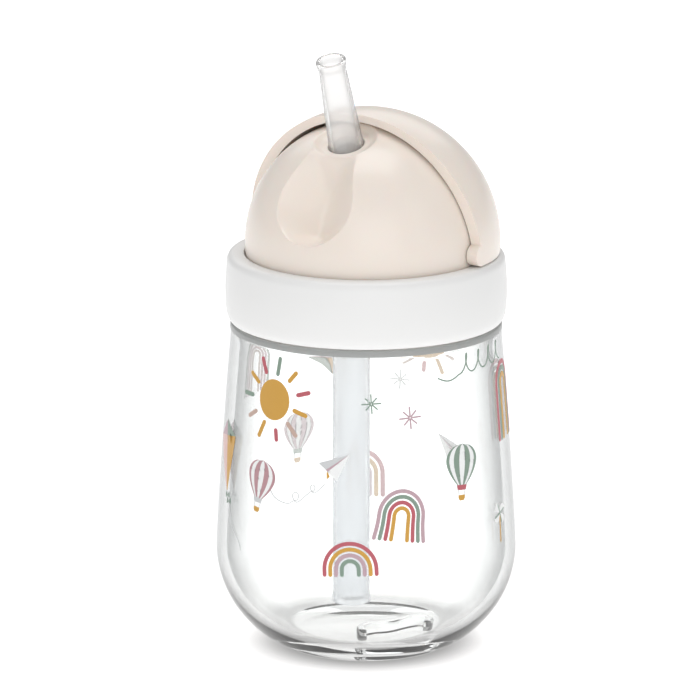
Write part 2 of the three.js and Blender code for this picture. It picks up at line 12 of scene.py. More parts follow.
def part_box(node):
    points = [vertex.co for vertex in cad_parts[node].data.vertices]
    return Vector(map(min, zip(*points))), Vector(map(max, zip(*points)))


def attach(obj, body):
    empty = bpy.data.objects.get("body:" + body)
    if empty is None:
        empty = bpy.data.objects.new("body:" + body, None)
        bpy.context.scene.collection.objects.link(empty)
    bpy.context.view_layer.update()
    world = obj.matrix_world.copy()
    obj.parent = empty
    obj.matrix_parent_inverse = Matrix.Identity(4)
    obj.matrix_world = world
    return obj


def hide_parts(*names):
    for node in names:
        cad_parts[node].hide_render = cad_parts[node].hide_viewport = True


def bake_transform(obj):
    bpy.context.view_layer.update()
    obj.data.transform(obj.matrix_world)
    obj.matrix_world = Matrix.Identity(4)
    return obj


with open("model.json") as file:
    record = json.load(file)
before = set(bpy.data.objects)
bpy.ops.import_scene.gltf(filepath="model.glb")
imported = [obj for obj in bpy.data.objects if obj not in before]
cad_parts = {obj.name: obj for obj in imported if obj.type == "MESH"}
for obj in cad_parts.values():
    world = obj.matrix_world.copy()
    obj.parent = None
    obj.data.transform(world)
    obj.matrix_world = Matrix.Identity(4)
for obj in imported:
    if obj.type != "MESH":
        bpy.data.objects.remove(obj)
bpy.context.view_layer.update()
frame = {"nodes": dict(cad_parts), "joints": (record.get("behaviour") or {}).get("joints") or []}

MM = 0.001
ROUND_STEPS = 192                 # columns of a large round piece
TUBE_STEPS = 48                   # columns of a straw or mouthpiece

# Sizes read from the frame
JOINTS = {joint["name"]: joint for joint in frame["joints"]}
PIVOT = Vector(JOINTS["visor_hinge"]["pos_m"])
FOLD = Vector(JOINTS["spout_fold"]["pos_m"])
CUP_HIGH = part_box("cup")[1]
RING_LOW, RING_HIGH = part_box("screw_ring")
DOME_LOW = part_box("dome_shell")[0]
VISOR_LOW, VISOR_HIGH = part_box("visor")
SPOUT_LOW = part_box("spout_base")[0]
STRAW_LOW, STRAW_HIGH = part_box("straw_tube")
BELLY_RADIUS = CUP_HIGH.x
RIM_HEIGHT = CUP_HIGH.z
RING_RADIUS = RING_HIGH.x - 0.05 * MM
DOME_RADIUS = 32.2 * MM
VISOR_RADIUS = VISOR_HIGH.x
STRAW_Y = (STRAW_LOW.y + STRAW_HIGH.y) / 2

# The photograph's camera: a long lens, a little above the cup and to its right
CAMERA_AZIMUTH = math.radians(31)
CAMERA_ELEVATION = math.radians(14)
CAMERA_DISTANCE = 2.5
SENSOR = 36
FRAME_WIDTH = 186.2 * MM          # what the picture takes in at the cup's axis
AIM_HEIGHT = 79.8 * MM
AIM_LEFT = 4.3 * MM
WORLD_STRENGTH = 0.37
WORLD_LIFT = 0.45                 # extra strength as seen through clear plastic
FLOOR_ALBEDO = 0.86
FLOOR_GLOW = 0.56
FLOOR_SIZE = 60
FLOOR_SEEN_THROUGH = 0.58         # least brightness of the floor's painted shadow as seen through clear plastic
CAMERA_RIGHT = Vector((math.cos(CAMERA_AZIMUTH), math.sin(CAMERA_AZIMUTH), 0))
CAMERA_BACK = Vector((
    math.sin(CAMERA_AZIMUTH) * math.cos(CAMERA_ELEVATION),
    -math.cos(CAMERA_AZIMUTH) * math.cos(CAMERA_ELEVATION),
    math.sin(CAMERA_ELEVATION),
))


# ---- Camera, stage and light ----

def add_camera():
    data = bpy.data.cameras.new("photo_camera")
    data.sensor_width = SENSOR
    data.lens = SENSOR * CAMERA_DISTANCE / FRAME_WIDTH
    data.clip_end = 50
    camera = bpy.data.objects.new("photo_camera", data)
    bpy.context.scene.collection.objects.link(camera)
    aim = Vector((0, 0, AIM_HEIGHT)) - CAMERA_RIGHT * AIM_LEFT
    camera.location = aim + CAMERA_BACK * CAMERA_DISTANCE
    camera.rotation_euler = CAMERA_BACK.to_track_quat("Z", "Y").to_euler()
    bpy.context.scene.camera = camera


def area_light(name, location, size, power, aim=(0, 0, 0.09)):
    data = bpy.data.lights.new(name, "AREA")
    data.shape = "RECTANGLE"
    data.size, data.size_y = size
    data.energy = power
    light = bpy.data.objects.new(name, data)
    light.location = location
    light.rotation_euler = (light.location - Vector(aim)).to_track_quat("Z", "Y").to_euler()
    bpy.context.scene.collection.objects.link(light)


class Graph:
    """Builds the shader tree of a material or world. Inputs are numbers, or outputs of other nodes."""

    def __init__(self, owner):
        owner.use_nodes = True
        self.nodes, self.links = owner.node_tree.nodes, owner.node_tree.links

    def feed(self, socket, value):
        if isinstance(value, bpy.types.NodeSocket):
            self.links.new(value, socket)
        else:
            socket.default_value = value

    def add(self, kind, inputs=None, **settings):
        node = self.nodes.new(f"ShaderNode{kind}")
        for name, value in settings.items():
            setattr(node, name, value)
        for name, value in (inputs or {}).items():
            self.feed(node.inputs[name], value)
        return node

    def place(self):
        return self.add("TexCoord").outputs["Object"]

    def noise(self, place, scale, detail):
        return self.add("TexNoise", {"Scale": scale, "Detail": detail, "Vector": place}).outputs["Fac"]

    def math(self, operation, first, second):
        return self.add("Math", {0: first, 1: second}, operation=operation).outputs["Value"]

    def ramp(self, value, start, end, low, high):
        """A smooth change from low, at start, to high, at end."""
        inputs = {"Value": value, "From Min": start, "From Max": end, "To Min": low, "To Max": high}
        return self.add("MapRange", inputs, interpolation_type="SMOOTHSTEP").outputs["Result"]


def add_floor():
    """The clear cup casts no shadow of its own, so the floor's colour and glow carry a painted shadow around
    its base.
    """
    material = bpy.data.materials.new("stage_floor")
    graph = Graph(material)
    place = graph.place()
    radius = graph.add("VectorMath", {0: place}, operation="LENGTH").outputs["Value"]
    depth = graph.add("SeparateXYZ", {"Vector": place}).outputs["Y"]
    refracted = graph.add("LightPath").outputs["Is Transmission Ray"]
    shade = graph.math("MULTIPLY", refracted, FLOOR_SEEN_THROUGH)
    # Painted shadow: dark at the foot of the cup, and bright again further out, under its middle and behind
    # it
    around = graph.ramp(radius, 19 * MM, 37 * MM, 0.28, 1.0)
    under = graph.ramp(radius, 20 * MM, 23 * MM, 0.93, 0.0)
    behind = graph.ramp(depth, -5 * MM, 25 * MM, 0.0, 0.72)
    for part in (around, under, behind):
        shade = graph.math("MAXIMUM", shade, part)
    albedo = graph.math("MULTIPLY", shade, FLOOR_ALBEDO)
    color = graph.add("CombineColor", {"Red": albedo, "Green": albedo, "Blue": albedo})
    shader = graph.nodes["Principled BSDF"].inputs
    graph.feed(shader["Base Color"], color.outputs["Color"])
    graph.feed(shader["Roughness"], 0.9)
    graph.feed(shader["Emission Color"], (1, 1, 1, 1))
    graph.feed(shader["Emission Strength"], graph.math("MULTIPLY", shade, FLOOR_GLOW))
    half = FLOOR_SIZE / 2
    corners = [(-half, -half, 0), (half, -half, 0), (half, half, 0), (-half, half, 0)]
    mesh = bpy.data.meshes.new("floor")
    mesh.from_pydata(corners, [], [(0, 1, 2, 3)])
    mesh.materials.append(material)
    floor = bpy.data.objects.new("floor", mesh)
    floor.location.z = -0.05 * MM
    floor.rotation_euler.z = CAMERA_AZIMUTH
    bpy.context.scene.collection.objects.link(floor)


def add_lights():
    world = bpy.data.worlds.new("studio")
    graph = Graph(world)
    background = graph.nodes["Background"].inputs
    graph.feed(background["Color"], (1, 1, 1, 1))
    refracted = graph.add("LightPath").outputs["Is Transmission Ray"]
    lift = graph.math("MULTIPLY", refracted, WORLD_LIFT)
    graph.feed(background["Strength"], graph.math("ADD", lift, WORLD_STRENGTH))
    bpy.context.scene.world = world
    ahead = Vector((CAMERA_BACK.x, CAMERA_BACK.y, 0)).normalized()
    right = CAMERA_RIGHT
    up = Vector((0, 0, 1))
    area_light("key", ahead * 0.75 - right * 0.6 + up * 0.9, (0.5, 0.7), 1.4)
    area_light("front", right * 0.2 + ahead * 1.3 + up * 0.55, (1.1, 0.9), 3.8)
    area_light("fill", right * 0.85 + ahead * 0.6 + up * 0.55, (0.3, 0.8), 0.5)
    area_light("top", up * 1.2 - ahead * 0.1, (0.9, 0.6), 5)
    area_light("back", up * 0.7 - ahead * 0.9, (1.2, 0.5), 1.9)


def let_light_through(piece):
    """Clear pieces neither shade nor gather light, so that what is inside or behind them is lit."""
    piece.visible_shadow = False
    piece.visible_diffuse = False


# ---- Materials ----

DRIFT_SCALE = 14                  # noise cells to a metre
GRAIN_SCALE = 900
SPECKLE_SCALE = 2250


def moulded_material(name, color, roughness, variation=0.02, bump=0.04, rough_play=0.05, **sockets):
    """A moulded plastic or silicone: a slow drift of tone, uneven gloss and a fine grain in the surface."""
    material = bpy.data.materials.new(name)
    graph = Graph(material)
    shader = graph.nodes["Principled BSDF"].inputs
    place = graph.place()
    drift = graph.noise(place, DRIFT_SCALE, 1)
    speckle = graph.noise(place, SPECKLE_SCALE, 2)
    tone = graph.add("ValToRGB", {
        "Fac": graph.add("Mix", {"Factor": 0.6, "A": drift, "B": speckle}).outputs["Result"]})
    tone.color_ramp.elements[0].color = (*[c * (1 - variation) for c in color], 1)
    tone.color_ramp.elements[1].color = (*[min(1, c * (1 + variation)) for c in color], 1)
    graph.feed(shader["Base Color"], tone.outputs["Color"])
    gloss = graph.add("MapRange", {
        "Value": drift, "To Min": max(0, roughness - rough_play), "To Max": roughness + rough_play})
    graph.feed(shader["Roughness"], gloss.outputs["Result"])
    grain = graph.noise(place, GRAIN_SCALE, 3)
    relief = graph.add("Bump", {"Strength": bump, "Distance": 0.05 * MM, "Height": grain})
    graph.feed(shader["Normal"], relief.outputs["Normal"])
    for socket, value in sockets.items():
        graph.feed(shader[socket.replace("_", " ")], value)
    return material


def paint_edge_shade(material, start, end, edge_color):
    """Paints clear walls grey where they are seen at a glancing angle: painted shade standing in for the
    darker surroundings seen through the edges. The cup's floor stays clear.
    """
    graph = Graph(material)
    base = graph.nodes["Principled BSDF"].inputs["Base Color"]
    fade_low, fade_high, floor_share = 4.5 * MM, 17 * MM, 0.12
    facing = graph.add("LayerWeight", {"Blend": 0.5}).outputs["Facing"]
    height = graph.add("SeparateXYZ", {"Vector": graph.place()}).outputs["Z"]
    above_floor = graph.ramp(height, fade_low, fade_high, floor_share, 1.0)
    amount = graph.math("MULTIPLY", graph.ramp(facing, start, end, 0.0, 1.0), above_floor)
    own_color = base.links[0].from_socket
    tint = graph.add("Mix", {"Factor": amount, "A": own_color, "B": (*edge_color, 1)}, data_type="RGBA")
    graph.feed(base, tint.outputs["Result"])


def make_materials():
    looks = {
        "clear": moulded_material(
            "clear_copolyester", (0.965, 0.975, 0.972), 0.015, variation=0.004, bump=0.01, rough_play=0.01,
            Transmission_Weight=1.0, IOR=1.53),
        "ring": moulded_material("white_ring", (0.815, 0.815, 0.81), 0.36, bump=0.06, variation=0.012),
        "blush": moulded_material(
            "blush_lid", (0.85, 0.766, 0.692), 0.34, bump=0.03, variation=0.015, rough_play=0.02,
            Coat_Weight=0.3, Coat_Roughness=0.15, Subsurface_Weight=0.12, Subsurface_Scale=1.5 * MM),
        "silicone": moulded_material(
            "mouthpiece_silicone", (0.94, 0.935, 0.93), 0.13, bump=0.04, variation=0.01,
            Transmission_Weight=0.8, IOR=1.41),
        "straw": moulded_material(
            "straw_plastic", (0.87, 0.892, 0.912), 0.1, bump=0.03, variation=0.008,
            Transmission_Weight=0.66, IOR=1.49),
        # Painted shade: a dark grey for the shoulder's outside under the screw ring
        "shoulder": moulded_material(
            "shoulder_painted_shade", (0.34, 0.35, 0.345), 0.35, bump=0.05, variation=0.05,
            Transmission_Weight=0.15, IOR=1.53),
    }
    # Painted shade on the glancing edges of the clear cup, the straw and the mouthpiece
    paint_edge_shade(looks["clear"], 0.25, 0.93, (0.028, 0.034, 0.036))
    paint_edge_shade(looks["straw"], 0.3, 0.95, (0.42, 0.45, 0.49))
    paint_edge_shade(looks["silicone"], 0.2, 0.95, (0.4, 0.4, 0.4))
    return looks


PRINT_COLORS = {
    "brick": (0.49, 0.107, 0.136),
    "ochre": (0.61, 0.33, 0.05),
    "sage": (0.225, 0.31, 0.25),
    "mauve": (0.51, 0.35, 0.395),
    "rosewood": (0.47, 0.26, 0.285),
    "blush": (0.74, 0.50, 0.47),
    "tan": (0.54, 0.39, 0.33),
    "mist": (0.60, 0.61, 0.62),
    "white": (0.86, 0.87, 0.87),
}


def make_print_materials():
    """Ink as it looks from outside, and the paler back of the ink as seen through the cup."""
    inks = {}
    paleness = 0.45
    for name, color in PRINT_COLORS.items():
        pale = tuple(c + (0.9 - c) * paleness for c in color)
        inks[name] = (
            moulded_material(f"ink_{name}", color, 0.42, variation=0.05, bump=0.08),
            moulded_material(f"ink_back_{name}", pale, 0.6, variation=0.04, bump=0.05),
        )
    return inks


# ---- Mesh helpers ----

def link_mesh(name, vertices, faces):
    mesh = bpy.data.meshes.new(name)
    mesh.from_pydata([tuple(v) for v in vertices], [], faces)
    mesh.validate()
    mesh.polygons.foreach_set("use_smooth", [True] * len(mesh.polygons))
    piece = bpy.data.objects.new(name, mesh)
    bpy.context.scene.collection.objects.link(piece)
    return piece


def ring_faces(rings, steps, closed):
    """Faces between neighbouring rings of vertices. When closed, the last ring meets the first."""
    faces = []
    for row in range(rings if closed else rings - 1):
        here, above = row * steps, (row + 1) % rings * steps
        for column in range(steps):
            after = (column + 1) % steps
            faces.append((here + column, here + after, above + after, above + column))
    return faces


def bar_faces(stations, corners):
    """Faces of a bar along stations that have the same number of corners each, and of its two ends."""
    faces = []
    for station in range(stations - 1):
        for corner in range(corners):
            a = station * corners + corner
            b = station * corners + (corner + 1) % corners
            faces.append((a, a + corners, b + corners, b))
    last = (stations - 1) * corners
    return [*faces, tuple(range(corners)), tuple(last + corner for corner in reversed(range(corners)))]


def turned(name, profile, steps=ROUND_STEPS, centre=(0, 0)):
    """A solid of revolution. Its profile of (radius, height) points ends on the axis or closes on itself."""
    on_axis = profile[0][0] == 0 and profile[-1][0] == 0
    rings = profile[1:-1] if on_axis else profile
    vertices = []
    for radius, height in rings:
        for column in range(steps):
            turn = 2 * math.pi * column / steps
            x, y = radius * math.cos(turn), radius * math.sin(turn)
            vertices.append((centre[0] + x, centre[1] + y, height))
    faces = ring_faces(len(rings), steps, closed=not on_axis)
    if on_axis:
        bottom, top = len(vertices), len(vertices) + 1
        vertices += [(*centre, profile[0][1]), (*centre, profile[-1][1])]
        last = (len(rings) - 1) * steps
        for column in range(steps):
            after = (column + 1) % steps
            faces.append((bottom, after, column))
            faces.append((top, last + column, last + after))
    return link_mesh(name, vertices, faces)


def arc(centre, radius, start, end, steps):
    """Points on an arc in the (radius, height) plane, angles in degrees."""
    angles = np.radians(np.linspace(start, end, steps + 1))
    return [(centre[0] + radius * math.cos(a), centre[1] + radius * math.sin(a)) for a in angles]


def curve(start, control, end, steps):
    """Points on a quadratic curve, without its first point."""
    points = []
    for t in np.linspace(0, 1, steps + 1)[1:]:
        points.append(tuple(
            (1 - t) ** 2 * a + 2 * t * (1 - t) * b + t * t * c for a, b, c in zip(start, control, end)))
    return points


def rounded(points, radius, steps=4):
    """Rounds the corners of an open or closed outline in the (radius, height) plane."""
    out = [points[0]]
    for before, corner, after in zip(points, points[1:], points[2:]):
        back = Vector(before) - Vector(corner)
        ahead = Vector(after) - Vector(corner)
        cut = min(radius, back.length / 2.2, ahead.length / 2.2)
        start = tuple(Vector(corner) + back.normalized() * cut)
        end = tuple(Vector(corner) + ahead.normalized() * cut)
        out += [start, *curve(start, corner, end, steps)]
    return [*out, points[-1]]


def boolean(piece, tool, operation):
    """Joins or cuts piece with tool, and removes the tool."""
    modifier = piece.modifiers.new("boolean", "BOOLEAN")
    modifier.operation = operation
    modifier.object = tool
    modifier.solver = "EXACT"
    apply_modifiers(piece)
    bpy.data.objects.remove(tool)


def apply_modifiers(piece):
    graph = bpy.context.evaluated_depsgraph_get()
    mesh = bpy.data.meshes.new_from_object(piece.evaluated_get(graph))
    old = piece.data
    piece.modifiers.clear()
    piece.data = mesh
    bpy.data.meshes.remove(old)


def clean(piece, sharp_angle=30):
    """Merges slivers, turns the faces out and splits the shading at sharp edges."""
    work = bmesh.new()
    work.from_mesh(piece.data)
    bmesh.ops.remove_doubles(work, verts=work.verts, dist=0.004 * MM)
    bmesh.ops.dissolve_degenerate(work, edges=work.edges, dist=0.002 * MM)
    bmesh.ops.recalc_face_normals(work, faces=work.faces)
    limit = math.radians(sharp_angle)
    for edge in work.edges:
        edge.smooth = not (edge.is_manifold and edge.calc_face_angle(0) > limit)
    for face in work.faces:
        face.smooth = True
    work.to_mesh(piece.data)
    work.free()


def round_tool(profile, place, steps=TUBE_STEPS):
    """A turned solid to cut or join with, moved to its place."""
    tool = turned("round_tool", profile, steps)
    tool.data.transform(place)
    clean(tool)
    return tool


def along_hinge(side):
    """Turns a tool from the Z axis to the visor's hinge axis, on the side of -1 or +1."""
    return Matrix.Translation(PIVOT) @ Matrix.Rotation(side * math.pi / 2, 4, "Y")


def finish_piece(piece, body, node_names, material):
    piece.data.materials.clear()
    piece.data.materials.append(material)
    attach(piece, body)
    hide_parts(*node_names)
    return piece


def thread_ridge(name, root, depth, start, first_turn, turns):
    """The screw thread's ridge on a wall at the root radius. It points inwards when depth is negative."""
    pitch = 4 * MM
    steps_per_turn = 96
    steps = round(turns * steps_per_turn)
    embed = -0.3 * MM if depth > 0 else 0.3 * MM
    root_half, crest_half = 0.95 * MM, 0.4 * MM
    run_out = 10                  # steps over which each end of the ridge rises
    vertices = []
    for i in range(steps + 1):
        turn = first_turn + i / steps_per_turn
        ramp = min(1, (i + 1) / run_out, (steps - i + 1) / run_out)
        middle = start + pitch * turn
        crest = root + depth * ramp
        angle = 2 * math.pi * turn
        for radius, height in ((root + embed, -root_half), (crest, -crest_half),
                               (crest, crest_half), (root + embed, root_half)):
            vertices.append((radius * math.cos(angle), radius * math.sin(angle), middle + height))
    ridge = link_mesh(name, vertices, bar_faces(steps + 1, 4))
    clean(ridge)
    return ridge


# ---- Cup ----

CUP_WALL = 2.8 * MM
CORNER_RADIUS = 28.6 * MM
INNER_CORNER_RADIUS = 24.2 * MM
BELLY_HEIGHT = 26.8 * MM
CUP_TOP = (36.2 * MM, 84.4 * MM)
SIDE_CONTROL = (BELLY_RADIUS - 0.5 * MM, 42.4 * MM)
FLOOR_HEIGHT = 4.2 * MM
SHADED_BAND_HEIGHT = 86.7 * MM          # the shoulder's outside carries a painted shade under the ring, dark grey from here up
SHOULDER_HEIGHT = 88.4 * MM
NECK_RADIUS = 33.8 * MM
NECK_BORE = 31.2 * MM
THREAD_DEPTH = 1.35 * MM


def cup_profile():
    corner = (BELLY_RADIUS - CORNER_RADIUS, BELLY_HEIGHT)
    inner_belly = BELLY_RADIUS - CUP_WALL
    inner_corner = (inner_belly - INNER_CORNER_RADIUS, BELLY_HEIGHT)
    base_angle = -math.degrees(math.asin(BELLY_HEIGHT / CORNER_RADIUS))
    floor_angle = -math.degrees(math.asin((BELLY_HEIGHT - FLOOR_HEIGHT) / INNER_CORNER_RADIUS))
    dish_radius, dish_depth = 18.5 * MM, 0.3 * MM
    outside = arc(corner, CORNER_RADIUS, base_angle, 0, 28)
    outside += curve((BELLY_RADIUS, BELLY_HEIGHT), SIDE_CONTROL, CUP_TOP, 20)
    dish = [(share * dish_radius, dish_depth * (1 + math.cos(math.pi * share)) / 2)
            for share in np.linspace(0, 1, 13)]
    underside = [*dish, *rounded([(20 * MM, 0), outside[0], outside[1]], 0.5 * MM)[:-1]]
    shoulder = rounded([
        CUP_TOP, (CUP_TOP[0], SHADED_BAND_HEIGHT), (CUP_TOP[0] - 0.1 * MM, SHOULDER_HEIGHT),
        (NECK_RADIUS, SHOULDER_HEIGHT), (NECK_RADIUS, RIM_HEIGHT), (NECK_BORE, RIM_HEIGHT),
        (NECK_BORE, SHOULDER_HEIGHT),
        (CUP_TOP[0] - CUP_WALL, SHADED_BAND_HEIGHT), (CUP_TOP[0] - CUP_WALL, CUP_TOP[1])], 1.3 * MM)
    inner_top = shoulder[-1]
    inner_control = (SIDE_CONTROL[0] - CUP_WALL, SIDE_CONTROL[1])
    inside = curve(inner_top, inner_control, (inner_belly, BELLY_HEIGHT), 20)
    inside += arc(inner_corner, INNER_CORNER_RADIUS, 0, floor_angle, 24)[1:]
    return [*underside, *outside[1:], *shoulder[1:], *inside, (0, FLOOR_HEIGHT)]


def spline(points, steps):
    """Points on a Catmull-Rom curve through the given points, evenly spread over its spans."""
    padded = [points[0], *points, points[-1]]
    spans = len(points) - 1
    out = []
    for i in range(steps + 1):
        at = min(i / steps * spans, spans - 1e-6)
        k, t = int(at), at - int(at)
        p0, p1, p2, p3 = (np.array(p, float) for p in padded[k:k + 4])
        out.append(0.5 * (2 * p1 + (p2 - p0) * t + (2 * p0 - 5 * p1 + 4 * p2 - p3) * t * t
                          + (3 * p1 - p0 - 3 * p2 + p3) * t ** 3))
    return out


def floor_rib():
    """The S-shaped rib on the inner floor, with a rounded top and rounded ends."""
    route = [(10, -18.2), (7.6, -15.2), (8.7, -11.5), (11.9, -8),
             (14.1, -2.6), (16.4, 0.6), (19.6, 0.2), (21, -3.2)]
    centre = [p * MM for p in spline(route, 60)]
    half_width, height, embed = 1.15 * MM, 3.9 * MM, 0.4 * MM
    section = [(-1, -embed), (-1, height * 0.8), (-0.75, height * 0.95), (-0.3, height), (0.3, height),
               (0.75, height * 0.95), (1, height * 0.8), (1, -embed)]
    vertices = []
    for i, point in enumerate(centre):
        before, after = centre[max(0, i - 1)], centre[min(len(centre) - 1, i + 1)]
        along = (after - before) / np.linalg.norm(after - before)
        across = np.array([-along[1], along[0]])
        end = min(i, len(centre) - 1 - i)
        narrow = math.sqrt(min(1, (end + 0.35) / 2))
        for side, level in section:
            x, y = point + across * side * half_width * narrow
            vertices.append((x, y, FLOOR_HEIGHT + level))
    rib = link_mesh("rib_tool", vertices, bar_faces(len(centre), len(section)))
    clean(rib)
    return rib


def make_cup(materials):
    cup = turned("cup_body_shell", cup_profile())
    clean(cup)
    boolean(cup, floor_rib(), "UNION")
    thread = thread_ridge("neck_thread", NECK_RADIUS, THREAD_DEPTH, 92.6 * MM, first_turn=0, turns=1.1)
    boolean(cup, thread, "UNION")
    clean(cup, sharp_angle=40)
    let_light_through(cup)
    finish_piece(cup, "cup_body", ["cup"], materials["clear"])
    # Painted shade under the ring: the shoulder's outside from this height up takes the dark grey material
    cup.data.materials.append(materials["shoulder"])
    for face in cup.data.polygons:
        x, y, z = face.center
        if SHADED_BAND_HEIGHT < z < SHOULDER_HEIGHT + 0.1 * MM and math.hypot(x, y) > NECK_RADIUS:
            face.material_index = 1


def cup_radius(height):
    """Outer radius of the cup's side at a height."""
    if height <= BELLY_HEIGHT:
        drop = BELLY_HEIGHT - height
        return BELLY_RADIUS - CORNER_RADIUS + math.sqrt(CORNER_RADIUS ** 2 - drop ** 2)
    low, high = 0.0, 1.0
    for _ in range(30):
        t = (low + high) / 2
        z = (1 - t) ** 2 * BELLY_HEIGHT + 2 * t * (1 - t) * SIDE_CONTROL[1] + t * t * CUP_TOP[1]
        low, high = (t, high) if z < height else (low, t)
    return (1 - t) ** 2 * BELLY_RADIUS + 2 * t * (1 - t) * SIDE_CONTROL[0] + t * t * CUP_TOP[0]


# ---- Screw ring ----

def make_ring(materials):
    bore, mouth = 35.6 * MM, 32.4 * MM
    bottom, top = RING_LOW.z, RING_HIGH.z
    flange = 1.8 * MM
    lip = (bore + 0.45 * MM, bottom)
    lower = (RING_RADIUS - 0.1 * MM, bottom + 5 * MM)
    upper = (RING_RADIUS - 0.4 * MM, top - 2.4 * MM)
    crown = (RING_RADIUS - 2.8 * MM, top)
    outside = [lip]
    outside += curve(lip, (RING_RADIUS - 0.2 * MM, bottom + 0.8 * MM), lower, 12)
    outside += curve(lower, (RING_RADIUS + 0.2 * MM, (bottom + top) / 2), upper, 10)
    outside += curve(upper, (RING_RADIUS - 0.5 * MM, top), crown, 12)
    inside = rounded([
        crown, (mouth, top), (mouth, top - flange), (bore, top - flange), (bore, bottom), lip], 0.35 * MM)
    ring = turned("screw_ring_shell", [*outside, *inside[1:-1]])
    clean(ring)
    thread = thread_ridge("ring_thread", bore, -THREAD_DEPTH, 90.6 * MM, first_turn=0.1, turns=1)
    boolean(ring, thread, "UNION")
    clean(ring, sharp_angle=40)
    finish_piece(ring, "ring_body", ["screw_ring"], materials["ring"])


# ---- Dome ----

SPOUT_TILT = math.radians(18)
SPOUT_AXIS = np.array([0, -math.sin(SPOUT_TILT), math.cos(SPOUT_TILT)])
HOLE = np.array([0, -10.3, 27.9]) * MM
SPOUT_LENGTH = 25.6 * MM
SPOUT_ROOT_RADIUS = 4.7 * MM
SPOUT_TIP_RADIUS = 3.65 * MM
SPOUT_BORE = 3.5 * MM


def smooth_max(a, b, blend):
    return (a + b + np.hypot(a - b, blend)) / 2


def smooth_min(a, b, blend):
    return (a + b - np.hypot(a - b, blend)) / 2


def dome_surface(direction):
    """Distance of the dome's outer surface from its centre in each unit direction (an N by 3 array)."""
    x, y, z = direction.T
    surface = np.full(len(direction), DOME_RADIUS)
    edge = 0.12 * MM

    # Flat pad around the mouthpiece's hole
    facing = direction @ SPOUT_AXIS
    near = facing > math.cos(0.6)
    pad = (HOLE @ SPOUT_AXIS) / np.where(near, facing, 1)
    from_axis = np.linalg.norm(direction * pad[:, None] - HOLE, axis=1)
    rise = np.maximum(0, from_axis - 6 * MM)
    pad = np.where(near, pad + 0.3 / MM * rise ** 2, DOME_RADIUS * 2)

    # Scoop: an upright back wall, a straight chord and a level ledge along its middle
    start, end = 0.2, math.radians(84)
    throat, bowl, lip = 29, 61, 81.5                    # degrees down from upright
    throat_half, bowl_half = 6.8, 11                    # half widths in mm
    angle = np.arctan2(-y, z)
    safe = np.clip(angle, start, end)
    back = 16.3 * MM / np.sin(safe)
    chord = 22.6 * MM / np.cos(safe - math.radians(58))
    ledge = 5 * MM / np.cos(safe)
    floor = smooth_max(smooth_max(back, chord, 2.5 * MM), ledge, 2 * MM)
    degrees = np.degrees(safe)
    rise = np.clip((degrees - throat) / (bowl - throat), 0, 1)
    upper = throat_half + (bowl_half - throat_half) * rise * rise * (3 - 2 * rise)
    fall = np.clip((degrees - bowl) / (lip - bowl), 0, 0.999)
    half_width = np.where(degrees < bowl, upper, bowl_half * np.sqrt(1 - fall * fall)) * MM
    across = DOME_RADIUS * x / half_width
    scoop = floor + np.maximum(0, DOME_RADIUS - floor) * across ** 2
    scoop = np.where((angle > start) & (angle < end), scoop, DOME_RADIUS * 2)

    cut = smooth_min(pad, scoop, 0.6 * MM)
    return np.where(cut < DOME_RADIUS + 2 * MM, smooth_min(surface, cut, edge), surface)


def dome_inside(direction):
    """The inner surface keeps the wall's thickness from the nearest of the outer points around it."""
    side = np.cross([1, 0, 0], direction)
    side /= np.linalg.norm(side, axis=1)[:, None]
    other = np.cross(direction, side)
    reach = math.radians(3)
    nearest = dome_surface(direction)
    for turn in np.linspace(0, 2 * math.pi, 8, endpoint=False):
        probe = direction + reach * (math.cos(turn) * side + math.sin(turn) * other)
        probe /= np.linalg.norm(probe, axis=1)[:, None]
        nearest = np.minimum(nearest, dome_surface(probe))
    return nearest - 1.8 * MM


def dome_columns():
    """Turn angles around Z, close together over the scoop."""
    front = np.linspace(-50, 50, 150, endpoint=False)
    behind = np.linspace(50, 310, 130, endpoint=False)
    return np.radians(np.concatenate([front, behind]) - 90)


